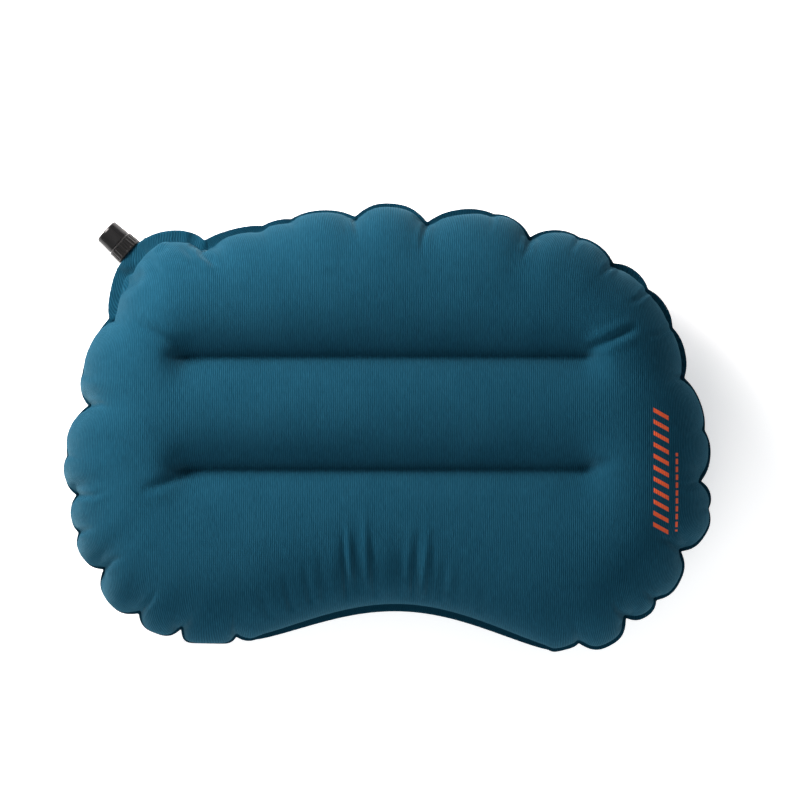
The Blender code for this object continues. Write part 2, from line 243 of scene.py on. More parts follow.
BLOCK, RIM = build_grid()
assert len(RIM) == N
order = (FIRST + np.arange(N)) % N
Pj, Zj, Kj, Wj, Ij, Sj = P[order], SZ[order], PINCH[order], WIDE[order], INWARD[order], SOFT[order]
LOOSE = np.where(WHICH[order] == NECK, 0.1, 1.0)
LOOSE = (LOOSE + np.roll(LOOSE, 6) + np.roll(LOOSE, -6)) / 3
WELD = Pj + Ij * Wj[:, None]
SOFTW = Sj + Ij * 4.5
RB = np.array([BLOCK[r, c] for r, c in RIM])


def seg_distance(p, loop):
    a, b = loop, np.roll(loop, -1, 0)
    out = np.empty(len(p))
    ab = b - a
    ll = (ab**2).sum(1)
    for i in range(0, len(p), 2000):
        q = p[i : i + 2000, None, :]
        t = np.clip(((q - a) * ab).sum(2) / ll, 0, 1)
        out[i : i + 2000] = np.sqrt((((a + t[..., None] * ab) - q) ** 2).sum(2)).min(1)
    return out


def ripple(f):
    """Waves of the wide welded flange, fading out at the valve and where the flange is narrow."""
    run = np.arange(N) * STEP
    away = np.clip((np.linalg.norm(Pj - V0, axis=1) - 17.0) / 9.0, 0, 1)
    wide = np.clip((Wj - 3.6) / 4.0, 0, 1) * (0.35 + 0.65 * np.exp(-((np.linalg.norm(Pj - V0, axis=1) / 70.0) ** 2)))
    phase = 2 * pi * run / 12.5
    wave = np.sin(phase + 1.4 * np.sin(0.37 * phase)) + 0.45 * np.sin(1.9 * phase + 1.0)
    return 0.85 * away * wide * (0.45 + 0.55 * (1 - f)) * wave


def start_shape():
    """The designed inflated shape of the top sheet, relative to the seam height."""
    D = np.linalg.norm(RB - WELD, axis=1)
    R = 50.0
    arc_total = np.where(D >= R, R * pi / 2 + D - R, R * np.arccos(np.clip(1 - D / R, -1, 1)))
    grade = np.linspace(0, 1, LAYERS + 1)
    grade = 0.72 * grade + 0.28 * grade**2
    ring = np.zeros((LAYERS + 1, N, 3))
    for l, g in enumerate(grade):
        a = arc_total * g
        theta = np.minimum(a / R, pi / 2)
        s = R * (1 - np.cos(theta)) + np.maximum(a - R * pi / 2, 0)
        f = s / np.maximum(D, 1e-6)
        line = WELD + (RB - WELD) * f[:, None]
        soft = SOFTW + (RB - SOFTW) * f[:, None]
        w = np.clip(s / 40.0, 0, 1)[:, None] ** 0.8
        ring[l, :, :2] = line * (1 - w) + soft * w
        ring[l, :, 2] = CROWN * np.sin(theta)
        # beside the valve the bulge starts in a shallow hollow, not a steep wall
        beside = np.exp(-((((Pj - np.array([-166.0, 92.0])) ** 2).sum(1)) / 21.0**2) ** 1.3)
        ring[l, :, 2] *= 1 - 0.72 * beside * np.exp(-((s / 15.0) ** 2))
    ring[LAYERS, :, :2] = RB
    flat = BLOCK.reshape(-1, 2)
    d = seg_distance(flat, SOFTW)
    z = dome(d).reshape(NY + 1, NX + 1)
    rim_d = seg_distance(RB, SOFTW)
    # carry the block's rim height into the rings
    gap = dome(rim_d) - ring[LAYERS, :, 2]
    for l, g in enumerate(grade):
        ring[l, :, 2] += gap * g**2
    ring[..., 2] -= crease_drop(ring[..., 0], ring[..., 1])* np.clip(np.linspace(-0.5, 1.4, LAYERS + 1), 0, 1)[:, None]
    block = np.dstack([BLOCK, z - crease_drop(BLOCK[..., 0], BLOCK[..., 1])])
    return ring, block


# indices: flange rows (edge outward) first, then rings, then the block without its rim
def index_maps():
    ring_id = np.arange((FLAPS + LAYERS) * N).reshape(FLAPS + LAYERS, N)
    base = ring_id.size
    block_id = base + np.arange((NY + 1) * (NX + 1)).reshape(NY + 1, NX + 1)
    quads = []
    full = np.vstack([ring_id, [[block_id[r, c] for r, c in RIM]]])
    rows = full.shape[0]
    a, b = full[:-1], full[1:]
    an, bn = np.roll(a, -1, 1), np.roll(b, -1, 1)
    quads.append(np.stack([a, b, bn, an], -1).reshape(-1, 4)[:, ::-1])
    q = np.stack([block_id[:-1, :-1], block_id[:-1, 1:], block_id[1:, 1:], block_id[1:, :-1]], -1).reshape(-1, 4)
    quads.append(q)
    return full, block_id, np.vstack(quads)


FULL, BLOCK_ID, QUADS = index_maps()


def orient(points, quads):
    """Quads wound so that they face up."""
    a, b, c, d = (points[quads[:, i], :2] for i in range(4))
    area = (c[:, 0] - a[:, 0]) * (d[:, 1] - b[:, 1]) - (c[:, 1] - a[:, 1]) * (d[:, 0] - b[:, 0])
    out = quads.copy()
    out[area < 0] = out[area < 0][:, ::-1]
    return out


def assemble(up):
    ring, block = start_shape()
    total = BLOCK_ID.max() + 1
    X = np.zeros((total, 3))
    pinned = np.zeros(total, bool)
    b = boat(WELD)
    for k in range(FLAPS):
        f = k / FLAPS
        xy = Pj + (WELD - Pj) * f
        spread = boat(xy)
        z = ZS + Zj + ripple(f) + up * (0.34 + spread)
        X[FULL[k], :2] = xy
        X[FULL[k], 2] = z
        pinned[FULL[k]] = True
    fade = np.exp(-np.linspace(0, 3.2, LAYERS + 1))
    for l in range(LAYERS + 1):
        ids = FULL[FLAPS + l]
        xy, h = ring[l, :, :2], ring[l, :, 2]
        spread = boat(xy)
        X[ids, :2] = xy
        X[ids, 2] = ZS + Zj * fade[l] + ripple(1.0) * fade[l] ** 2 + up * np.maximum(0.30 + h, 0.3 + spread + 0.4 * (spread > 0.3))
    pinned[FULL[FLAPS]] = True
    X[BLOCK_ID.reshape(-1)] = np.column_stack([block[..., :2].reshape(-1, 2), ZS + up * (0.3 + block[..., 2].reshape(-1))])
    for r in CREASE_ROW:
        cols = (BLOCK[r, :, 0] > CREASE_X[0] + 2.5) & (BLOCK[r, :, 0] < CREASE_X[1] - 2.5)
        pinned[BLOCK_ID[r, cols]] = True
    return X, pinned


def springs(X):
    """Edges and diagonals with their kinds, and row triples for bending."""
    E, T = [], []
    full, blk = FULL[FLAPS:], BLOCK_ID
    ring_along = np.stack([full[:-1].reshape(-1), np.roll(full[:-1], -1, 1).reshape(-1)], 1)
    kind = [np.zeros(len(ring_along), int)]
    E.append(ring_along)
    radial = np.stack([full[:-1].reshape(-1), full[1:].reshape(-1)], 1)
    E.append(radial); kind.append(np.ones(len(radial), int))
    for a, b in ((blk[:, :-1], blk[:, 1:]), (blk[:-1], blk[1:])):
        e = np.stack([a.reshape(-1), b.reshape(-1)], 1)
        E.append(e); kind.append(np.full(len(e), 2))
    d1 = np.stack([full[:-1].reshape(-1), np.roll(full[1:], -1, 1).reshape(-1)], 1)
    d2 = np.stack([np.roll(full[:-1], -1, 1).reshape(-1), full[1:].reshape(-1)], 1)
    d3 = np.stack([blk[:-1, :-1].reshape(-1), blk[1:, 1:].reshape(-1)], 1)
    d4 = np.stack([blk[:-1, 1:].reshape(-1), blk[1:, :-1].reshape(-1)], 1)
    for e in (d1, d2, d3, d4):
        E.append(e); kind.append(np.full(len(e), 3))
    T.append(np.stack([np.roll(full[:-1], 1, 1).reshape(-1), full[:-1].reshape(-1), np.roll(full[:-1], -1, 1).reshape(-1)], 1))
    T.append(np.stack([full[:-2].reshape(-1), full[1:-1].reshape(-1), full[2:].reshape(-1)], 1))
    T.append(np.stack([blk[:, :-2].reshape(-1), blk[:, 1:-1].reshape(-1), blk[:, 2:].reshape(-1)], 1))
    T.append(np.stack([blk[:-2].reshape(-1), blk[1:-1].reshape(-1), blk[2:].reshape(-1)], 1))
    # across the block's rim
    ins = {}
    inner = []
    for j, (r, c) in enumerate(RIM):
        rr, cc = min(max(r, 1), NY - 1), min(max(c, 1), NX - 1)
        inner.append(blk[rr, cc])
    T.append(np.stack([full[-2], full[-1], np.array(inner)], 1))
    E, kind = np.vstack(E), np.concatenate(kind)
    keep = E[:, 0] != E[:, 1]
    return E[keep], kind[keep], np.vstack(T)


def scatter(index, values, n):
    return np.stack([np.bincount(index, values[:, k], n) for k in range(3)], 1)


def relax(X, pinned, quads, up, steps, slack=0.09, pressure=1.0, floor=True, bend=16.0, stiff=4200.0, seed_wave=0.0):
    """Lets the pressurised sheet find its shape: springs at their cut lengths, bending, pressure and the ground."""
    n = len(X)
    E, kind, T = springs(X)
    rest = np.linalg.norm(X[E[:, 0]] - X[E[:, 1]], axis=1)
    depth = np.full(n, 1.0)
    for l in range(LAYERS + 1):
        depth[FULL[FLAPS + l]] = l / LAYERS
    mid = (depth[E[:, 0]] + depth[E[:, 1]]) / 2
    loose = np.ones(n)
    for l in range(LAYERS + 1):
        loose[FULL[FLAPS + l]] = LOOSE
    extra = slack * np.exp(-((mid * 85.0 / 20.0) ** 1.3)) * (loose[E[:, 0]] + loose[E[:, 1]]) / 2
    rest = rest * np.where(kind == 0, 1 + extra, np.where(kind == 3, 1 + extra * 0.5, 1.0))
    taut = np.zeros(n)
    for l in range(LAYERS + 1):
        taut[FULL[FLAPS + l]] = Kj * np.exp(-((l / LAYERS * 85.0 / 22.0) ** 1.5))
    rest *= np.where(kind == 1, 1.004 - 0.09 * (taut[E[:, 0]] + taut[E[:, 1]]) / 2, 1.0)
    k = stiff * np.where(kind == 3, 0.28, 1.0) / np.maximum(rest, 0.3)
    free = ~pinned
    V = np.zeros_like(X)
    tri = np.vstack([quads[:, [0, 1, 2]], quads[:, [0, 2, 3]]])
    e0, e1 = E[:, 0], E[:, 1]
    degree = np.bincount(e0, k, n) + np.bincount(e1, k, n) + bend * 12
    inv_mass = (1.0 / degree)[:, None]
    dt = 1.15
    near_valve = np.where(free & (((X[:, :2] - V0) ** 2).sum(1) < 32.0**2))[0]
    for it in range(steps):
        d = X[e1] - X[e0]
        L = np.sqrt((d * d).sum(1))
        s = L - rest
        f = d * (k * np.where(s < 0, 0.35, 1.0) * s / np.maximum(L, 1e-9))[:, None]
        F = scatter(e0, f, n) - scatter(e1, f, n)
        b = X[T[:, 0]] - 2 * X[T[:, 1]] + X[T[:, 2]]
        b *= bend
        F -= scatter(T[:, 0], b, n) - 2 * scatter(T[:, 1], b, n) + scatter(T[:, 2], b, n)
        if it % 4 == 0:
            nn = np.cross(X[tri[:, 1]] - X[tri[:, 0]], X[tri[:, 2]] - X[tri[:, 0]]) / 6.0
            PN = (scatter(tri[:, 0], nn, n) + scatter(tri[:, 1], nn, n) + scatter(tri[:, 2], nn, n)) * (up * pressure)
        F += PN
        V = V * (0.965 if it < steps * 0.7 else 0.93) + F * inv_mass * dt
        V[pinned] = 0
        X = X + V * dt * 0.5
        if floor and up < 0:
            low = X[:, 2] < 0.3
            X[low, 2] = 0.3
            V[low, 2] = 0
        over = ZS + up * (under(X[near_valve, :2]) + 0.5)
        X[near_valve, 2] = np.maximum(X[near_valve, 2], over) if up > 0 else np.minimum(X[near_valve, 2], over)
    move = np.abs(V[free]).max()
    print("relaxed", steps, "steps, fastest", round(float(move), 4), "top", X[:, 2].max().round(2), "low", X[:, 2].min().round(2))
    return X

# ---------------------------------------------------------------- flat cut (for the knit's direction)
def flatten(X, quads, steps=260):
    """Lays the sheet flat at its own lengths; gives knit coordinates in mm."""
    E, kind, T = springs(X)
    flap = []
    for k in range(FLAPS):
        flap.append(np.stack([FULL[k], FULL[k + 1]], 1))
        flap.append(np.stack([FULL[k], np.roll(FULL[k], -1)], 1))
    E = np.vstack([E, *flap])
    rest = np.linalg.norm(X[E[:, 0]] - X[E[:, 1]], axis=1)
    k = 1.0 / np.maximum(rest, 0.3)
    U = X.copy()
    U[:, 2] = 0
    U[:, :2] = CENTRE + (U[:, :2] - CENTRE) * 1.16
    n = len(U)
    inv = (1.0 / (np.bincount(E[:, 0], k, n) + np.bincount(E[:, 1], k, n)))[:, None]
    V = np.zeros_like(U)
    for _ in range(steps):
        d = U[E[:, 1]] - U[E[:, 0]]
        L = np.sqrt((d * d).sum(1))
        f = d * (k * (L - rest) / np.maximum(L, 1e-9))[:, None]
        F = scatter(E[:, 0], f, n) - scatter(E[:, 1], f, n)
        V = V * 0.95 + F * inv
        U = U + V * 0.55
    return U[:, :2]


def even_rows(X, uv, quads, passes=14):
    """Slides the rim's rows along the sheet until they run evenly, points and cut alike."""
    side = np.cross(X[quads[:, 2]] - X[quads[:, 0]], X[quads[:, 3]] - X[quads[:, 1]])
    nrm = sum(scatter(quads[:, i], side, len(X)) for i in range(4))
    nrm /= np.maximum(np.linalg.norm(nrm, axis=1), 1e-9)[:, None]
    nn = nrm[FULL[1:-1]]
    free = np.arange(1, FULL.shape[0] - 1) > FLAPS
    for _ in range(passes):
        A, B = X[FULL], uv[FULL]
        lap = 0.25 * (A[:-2] + A[2:] - 2 * A[1:-1])
        lap -= (lap * nn).sum(-1, keepdims=True) * nn
        cut = 0.25 * (B[:-2] + B[2:] - 2 * B[1:-1])
        A[1:-1][free] += lap[free]
        B[1:-1][free] += cut[free]
        X[FULL], uv[FULL] = A, B
    return X, uv


# ---------------------------------------------------------------- build meshes
def mesh_from(name, points, faces, uv=None, smooth=True):
    mesh = bpy.data.meshes.new(name)
    pts = (np.asarray(points) + SHIFT) * MM
    mesh.from_pydata(pts.tolist(), [], [tuple(int(i) for i in f) for f in faces])
    mesh.update()
    if uv is not None:
        layer = mesh.uv_layers.new(name="cut")
        loops = np.zeros(len(mesh.loops), np.int32)
        mesh.loops.foreach_get("vertex_index", loops)
        layer.data.foreach_set("uv", (uv[loops] * MM).astype(np.float32).reshape(-1))
    if smooth:
        mesh.shade_smooth()
    o = bpy.data.objects.new(name, mesh)
    bpy.context.scene.collection.objects.link(o)
    return o


# Folds: plan points in mm, depth, half width, how much of a ridge stands beside the valley, side of the ridge.
FOLDS = [
    ([(-158.5, 65.5), (-141.0, 55.8), (-124.0, 46.0)], 1.7, 3.0, 0.4, 0),
    ([(123.0, 46.6), (139.0, 54.3), (156.0, 62.3)], 2.8, 2.7, 0.5, 0),
    ([(-121.0, -28.6), (-137.7, -34.7), (-154.0, -40.8)], 1.6, 3.2, 0.4, 0),
    ([(119.0, -27.0), (131.0, -24.0), (143.0, -21.0)], 1.1, 4.0, 0.3, 0),
    ([(-28.2, -56.0), (-27.4, -80.0), (-26.1, -95.4), (-25.0, -111.0)], 1.62, 1.55, 0.0, 3),
    ([(-25.4, -52.0), (-24.0, -75.0), (-22.6, -98.0)], -1.12, 1.72, 0.0, 3),
    ([(-19.8, -54.0), (-19.2, -80.0), (-18.0, -106.0)], 0.83, 2.30, 0.0, 3),
    ([(-14.1, -44.0), (-13.9, -72.0), (-12.2, -102.0)], -1.20, 2.18, 0.0, 3),
    ([(-9.9, -60.0), (-8.6, -90.0), (-7.0, -110.0)], 1.05, 1.90, 0.0, 3),
    ([(-0.8, -56.0), (-0.8, -80.0), (-1.2, -108.0)], -0.68, 4.14, 0.0, 3),
    ([(9.0, -66.0), (8.0, -88.0), (7.0, -110.0)], 0.60, 2.40, 0.0, 3),
    ([(14.6, -55.0), (13.0, -78.0), (11.6, -106.0)], -0.75, 2.30, 0.0, 3),
    ([(20.4, -60.0), (16.6, -86.0), (15.3, -111.0)], 1.55, 1.70, 0.0, 3),
    ([(25.7, -55.0), (24.0, -78.0), (20.8, -108.0)], -1.35, 2.18, 0.0, 3),
    ([(29.2, -66.0), (27.0, -90.0), (25.0, -111.0)], 0.98, 1.80, 0.0, 3),
    ([(36.5, -78.0), (34.6, -94.0), (31.8, -111.0)], 0.75, 2.20, 0.6, 3),
    ([(46.0, -84.0), (44.0, -98.0), (41.0, -112.0)], 0.60, 2.40, 0.6, 3),
    ([(-65.5, -90.0), (-62.0, -104.0), (-59.0, -117.0)], 1.12, 2.00, 0.6, 3),
    ([(-53.0, -82.0), (-50.4, -96.0), (-47.0, -112.0)], 0.90, 2.00, 0.6, 3),
    ([(-42.5, -74.0), (-41.0, -92.0), (-38.8, -111.0)], 0.60, 2.20, 0.6, 3),
    ([(-34.5, -62.0), (-33.5, -84.0), (-32.5, -108.0)], -0.45, 2.53, 0.0, 3),
    ([(-82.0, -98.0), (-77.0, -109.0), (-73.0, -121.0)], 0.75, 2.40, 0.6, 3),
    ([(62.0, -100.0), (59.0, -109.0), (56.0, -117.0)], 0.60, 2.40, 0.6, 3),
    ([(-172.0, 85.0), (-164.0, 90.5), (-153.0, 97.0)], 3.9, 4.4, 0.35, 0),
    ([(-147.2, 109.3), (-143.5, 113.0), (-138.0, 116.2)], -1.3, 1.7, 0.5, 0),
    ([(-116.5, 109.5), (-112.0, 105.5), (-106.5, 99.5)], 1.6, 2.1, 0.9, 0),
    ([(-130.0, 113.5), (-125.0, 109.0), (-121.0, 105.0)], 0.8, 1.9, 0.8, 0),
    ([(-150.0, 106.0), (-146.0, 101.0), (-141.0, 95.0)], 0.9, 2.2, 0.6, 0),
]


def crumple(o, up):
    """Presses the folds and the pinch creases into a subdivided sheet."""
    mesh = o.data
    n = len(mesh.vertices)
    co = np.zeros(n * 3, np.float32)
    mesh.vertices.foreach_get("co", co)
    co = co.reshape(-1, 3).astype(float)
    no = np.zeros(n * 3, np.float32)
    mesh.vertices.foreach_get("normal", no)
    no = no.reshape(-1, 3).astype(float)
    p = co[:, :2] / MM - SHIFT[:2]
    height = np.abs(co[:, 2] / MM - ZS)
    shift = np.zeros(n)
    lines = []
    for pts, deep, wide, ridge, side in FOLDS:
        if up > 0:
            lines.append((np.array(pts), deep, wide, ridge, side, 0.5))
    for i, (x, y, swell, dz, pinch, w) in enumerate(EDGE):
        if pinch < 0.25 or i in (21, 22):
            continue
        j = int(ENDS[i]) % N
        inward = INWARD[(j - 1) % N] + INWARD[j] + INWARD[(j + 1) % N]
        inward = inward / np.linalg.norm(inward)
        toward = np.array([0.0, 9.0]) - np.array([x, y])
        inward = inward + 0.5 * toward / np.linalg.norm(toward)
        inward = inward / np.linalg.norm(inward)
        a = np.array([x, y]) + inward * 1.0
        reach = (9.0 + 9.0 * pinch) * (1.0 + 0.25 * sin(i * 2.3))
        bendy = np.array([-inward[1], inward[0]]) * 1.6 * sin(i * 1.7 + up)
        lines.append((np.array([a, a + inward * reach * 0.5 + bendy, a + inward * reach]), 1.5 * pinch, 1.7, 0.75, 0, 0.12))
    for pts, deep, wide, ridge, side, head in lines:
        lo, hi = pts.min(0) - 12, pts.max(0) + 12
        near = np.where((p > lo).all(1) & (p < hi).all(1) & (height > 1.2))[0]
        if not len(near):
            continue
        q = p[near]
        best = np.full(len(near), 1e9)
        where = np.zeros(len(near))
        sign = np.zeros(len(near))
        lens = np.linalg.norm(np.diff(pts, axis=0), axis=1)
        total, done = lens.sum(), 0.0
        for (a, b), long in zip(zip(pts, pts[1:]), lens):
            d = (b - a) / long
            t = np.clip((q - a) @ d, 0, long)
            r = q - a - t[:, None] * d
            dist = np.linalg.norm(r, axis=1)
            better = dist < best
            best[better] = dist[better]
            where[better] = (done + t[better]) / total
            sign[better] = np.sign(r[better] @ np.array([-d[1], d[0]]))
            done += long
        if head < 0.3:
            env = np.clip(1 - where, 0, 1) ** 0.8 * np.clip(where / head + 0.35, 0, 1)
        else:
            env = np.sin(pi * np.clip(where, 0, 1)) ** 0.7
        if side == 3:
            rise, fall = np.clip(where / 0.52, 0, 1), np.clip((1 - where) / 0.17, 0, 1)
            env = rise * rise * (3 - 2 * rise) * fall * fall * (3 - 2 * fall) * (0.88 + 0.85 * np.clip(where, 0, 1) ** 2)
        valley = -np.exp(-((best / wide) ** 2))
        share = 1.0 if side in (0, 3) else np.where(sign * side > 0, 1.25, 0.25)
        crest = ridge * share * 0.6 * np.exp(-(((best - 2.1 * wide) / (1.15 * wide)) ** 2))
        end = np.where((where <= 0) | (where >= 1), np.exp(-((best / (wide * 1.2)) ** 2)), 1.0)
        shift[near] += deep * env * (valley + crest) * end
    keep = np.clip((height - 1.2) / 3.0, 0, 1)
    co += no * (shift * keep * MM)[:, None]
    # never into the valve's moulded base
    q = co[:, :2] / MM - SHIFT[:2]
    close = np.where(((q - V0) ** 2).sum(1) < 32.0**2)[0]
    over = (ZS + up * (under(q[close]) + 0.34)) * MM
    co[close, 2] = np.maximum(co[close, 2], over) if up > 0 else np.minimum(co[close, 2], over)
    mesh.vertices.foreach_set("co", co.astype(np.float32).reshape(-1))
    mesh.update()


def sheet_object(name, up, steps):
    X, pinned = assemble(up)
    quads = orient(X, QUADS)
    start = X.copy()
    if steps:
        X = relax(X, pinned, quads, up, steps)
    uv = flatten(start, quads, 260)
    # the knit runs straight past the puckers: even out the cut along the rim
    for row in range(FLAPS + LAYERS):
        ids = FULL[row]
        calm = loop_smooth(uv[ids], 70)
        uv[ids] += (calm - uv[ids]) * min(1.0, 1.6 * (1 - row / (FLAPS + LAYERS)))
    X, uv = even_rows(X, uv, quads)
    if up < 0:
        quads = quads[:, ::-1]
    o = mesh_from(name, X, quads, uv)
    # flange rows darker in the fabric colour: partly the weld's own tone, partly painted shade of the flange beside
    # the bulge; less of it near the valve
    weld_tone_and_shade = np.zeros(len(X), np.float32)
    for row in range(FLAPS + 1):
        weld_tone_and_shade[FULL[row]] = 1.0 - 0.85 * np.exp(-(((Pj - V0) ** 2).sum(1) / 62.0**2) ** 2)
    o.data.attributes.new("weld_tone_and_shade", "FLOAT", "POINT").data.foreach_set("value", weld_tone_and_shade)
    s = o.modifiers.new("smooth", "SUBSURF")
    s.levels = s.render_levels = 1
    s.boundary_smooth = "ALL"
    graph = bpy.context.evaluated_depsgraph_get()
    fine = bpy.data.meshes.new_from_object(o.evaluated_get(graph))
    o.modifiers.clear()
    o.data = fine
    fine.shade_smooth()
    crumple(o, up)
    t = o.modifiers.new("thickness", "SOLIDIFY")
    t.thickness = 0.5 * MM
    t.offset = -1.0 if True else 0
    t.use_even_offset = False
    t.use_quality_normals = False
    area = 0.0
    a = uv[quads[:, 2]] - uv[quads[:, 0]]
    b = uv[quads[:, 3]] - uv[quads[:, 1]]
    area = np.abs(a[:, 0] * b[:, 1] - a[:, 1] * b[:, 0]).sum() / 2
    size = uv.max(0) - uv.min(0)
    print(name, "flat cut about", size.round(0), "mm, area", round(area * 1e-6, 4), "m2")
    return o


# ---------------------------------------------------------------- materials
def srgb(r, g, b):
    f = lambda c: c / 12.92 if c <= 0.04045 else ((c + 0.055) / 1.055) ** 2.4
    return (f(r / 255), f(g / 255), f(b / 255), 1.0)


class Nodes:
    def __init__(self, name):
        self.m = bpy.data.materials.new(name)
        self.m.use_nodes = True
        self.t = self.m.node_tree
        self.bsdf = self.t.nodes["Principled BSDF"]

    def new(self, kind, **values):
        n = self.t.nodes.new("ShaderNode" + kind)
        for k, v in values.items():
            setattr(n, k, v)
        return n

    def link(self, a, b):
        self.t.links.new(a, b)

    def math(self, op, a, b=None, c=None):
        n = self.new("Math", operation=op)
        for i, v in enumerate((a, b, c)):
            if v is None:
                continue
            if isinstance(v, (int, float)):
                n.inputs[i].default_value = v
            else:
                self.link(v, n.inputs[i])
        return n.outputs[0]

    def noise(self, vector, scale, detail=2.0, rough=0.5):
        n = self.new("TexNoise")
        n.inputs["Scale"].default_value = scale
        n.inputs["Detail"].default_value = detail
        n.inputs["Roughness"].default_value = rough
        if vector is not None:
            self.link(vector, n.inputs["Vector"])
        return n.outputs["Fac"]

    def ramp(self, fac, stops):
        n = self.new("ValToRGB")
        e = n.color_ramp.elements
        while len(e) < len(stops):
            e.new(0.5)
        for el, (p, c) in zip(e, stops):
            el.position, el.color = p, c
        self.link(fac, n.inputs[0])
        return n.outputs[0]

    def mix(self, fac, a, b, kind="MIX"):
        n = self.new("Mix", data_type="RGBA", blend_type=kind)
        for v, k in ((fac, 0), (a, 6), (b, 7)):
            if isinstance(v, (int, float)):
                n.inputs[k].default_value = v
            elif isinstance(v, tuple):
                n.inputs[k].default_value = v
            else:
                self.link(v, n.inputs[k])
        return n.outputs[2]


def knit(name, base, light, dark, marks=False, pitch=1.31):
    """Fine vertical ribs of a warp knit on film: ribs, stitches along each rib, streaks, faint mottling."""
    k = Nodes(name)
    uv = k.new("UVMap", uv_map="cut").outputs[0]
    sep = k.new("SeparateXYZ")
    k.link(uv, sep.inputs[0])
    u, v = sep.outputs[0], sep.outputs[1]
    scaled = k.new("Mapping")
    k.link(uv, scaled.inputs[0])
    wob = k.noise(uv, 60.0, 2.0)
    uu = k.math("ADD", u, k.math("MULTIPLY", k.math("SUBTRACT", wob, 0.5), 0.0004))
    rib = k.math("SINE", k.math("MULTIPLY", uu, 2 * pi * 1000 / pitch))
    # neighbouring ribs differ a little: streak noise, long along v and narrow across u
    sq = k.new("CombineXYZ")
    k.link(k.math("MULTIPLY", u, 1.0), sq.inputs[0])
    k.link(k.math("MULTIPLY", v, 0.13), sq.inputs[1])
    streak = k.noise(sq.outputs[0], 1500.0, 2.0, 0.6)
    sq2 = k.new("CombineXYZ")
    k.link(u, sq2.inputs[0])
    k.link(k.math("MULTIPLY", v, 0.32), sq2.inputs[1])
    broken = k.noise(sq2.outputs[0], 900.0, 2.0, 0.5)
    stitch = k.math("SINE", k.math("MULTIPLY", v, 2 * pi * 1000 / 0.9))
    mottle = k.noise(uv, 26.0, 3.0, 0.55)
    h = k.math("ADD", k.math("MULTIPLY", rib, k.math("ADD", 0.25, k.math("MULTIPLY", broken, 0.75))), k.math("MULTIPLY", stitch, 0.12))
    h = k.math("ADD", h, k.math("MULTIPLY", streak, 0.7))
    fac = k.math("ADD", k.math("MULTIPLY", rib, k.math("MULTIPLY", broken, 0.40)), k.math("ADD", 0.19, k.math("MULTIPLY", streak, 0.55)))
    fac = k.math("ADD", fac, k.math("MULTIPLY", k.math("SUBTRACT", mottle, 0.5), 0.22))
    colour = k.ramp(fac, [(0.18, dark), (0.46, base), (0.78, light)])
    rough = k.math("ADD", 0.50, k.math("MULTIPLY", streak, 0.16))
    # flange rows mixed towards the dark tone: partly the weld's own colour, partly painted shade
    weld_tone_and_shade = k.new("Attribute", attribute_name="weld_tone_and_shade").outputs["Fac"]
    colour = k.mix(k.math("MULTIPLY", weld_tone_and_shade, 0.62), colour, dark)
    if marks:
        colour, rough = printed(k, uv, colour, rough)
    k.link(colour, k.bsdf.inputs["Base Color"])
    k.link(rough, k.bsdf.inputs["Roughness"])
    k.bsdf.inputs["Specular IOR Level"].default_value = 0.0
    k.bsdf.inputs["Sheen Weight"].default_value = 0.25
    k.bsdf.inputs["Sheen Roughness"].default_value = 0.38
    k.bsdf.inputs["Sheen Tint"].default_value = (0.27, 0.55, 0.68, 1)
    bump = k.new("Bump")
    bump.inputs["Strength"].default_value = 0.85
    bump.inputs["Distance"].default_value = 0.00016
    k.link(h, bump.inputs["Height"])
    k.link(bump.outputs[0], k.bsdf.inputs["Normal"])
    return k.m


def printed(k, uv, colour, rough):
    """The generic orange print near the right end: a column of slanted bars and a thin rule."""
    g = k.new("TexCoord").outputs["Object"]
    s = k.new("SeparateXYZ")
    k.link(g, s.inputs[0])
    x, y, z = s.outputs
    ox, oy = SHIFT[0] * MM, SHIFT[1] * MM

    def band(value, lo, hi, soft=0.00012):
        a = k.new("MapRange", interpolation_type="SMOOTHSTEP")
        k.link(value, a.inputs[0])
        a.inputs[1].default_value, a.inputs[2].default_value = lo - soft, lo + soft
        b = k.new("MapRange", interpolation_type="SMOOTHSTEP")
        k.link(value, b.inputs[0])
        b.inputs[1].default_value, b.inputs[2].default_value = hi - soft, hi + soft
        return k.math("MULTIPLY", a.outputs[0], k.math("SUBTRACT", 1.0, b.outputs[0]))

    # bars slanted across the column
    slant = k.math("ADD", y, k.math("MULTIPLY", k.math("SUBTRACT", x, 0.170), 0.55))
    saw = k.math("FRACT", k.math("MULTIPLY", k.math("ADD", slant, 0.2), 1 / 0.0071))
    bars = k.math("MULTIPLY", band(x, 0.1648 + ox, 0.1745 + ox), band(saw, 0.12, 0.50, 0.03))
    bars = k.math("MULTIPLY", bars, band(slant, -0.0672 + oy, 0.0105 + oy))
    rule = k.math("MULTIPLY", band(x, 0.1790 + ox, 0.1805 + ox), band(y, -0.0655 + oy, -0.0165 + oy))
    dash = k.math("MULTIPLY", rule, band(k.math("FRACT", k.math("MULTIPLY", k.math("ADD", y, 0.2), 1 / 0.0049)), 0.12, 0.80, 0.04))
    mark = k.math("MAXIMUM", bars, dash)
    mark = k.math("MULTIPLY", mark, k.math("GREATER_THAN", z, 0.050))
    worn = k.noise(uv, 900.0, 2.0, 0.6)
    mark = k.math("MULTIPLY", mark, k.math("ADD", 0.86, k.math("MULTIPLY", worn, 0.2)))
    colour = k.mix(mark, colour, srgb(214, 88, 52))
    rough = k.math("ADD", rough, k.math("MULTIPLY", mark, -0.08))
    return colour, rough


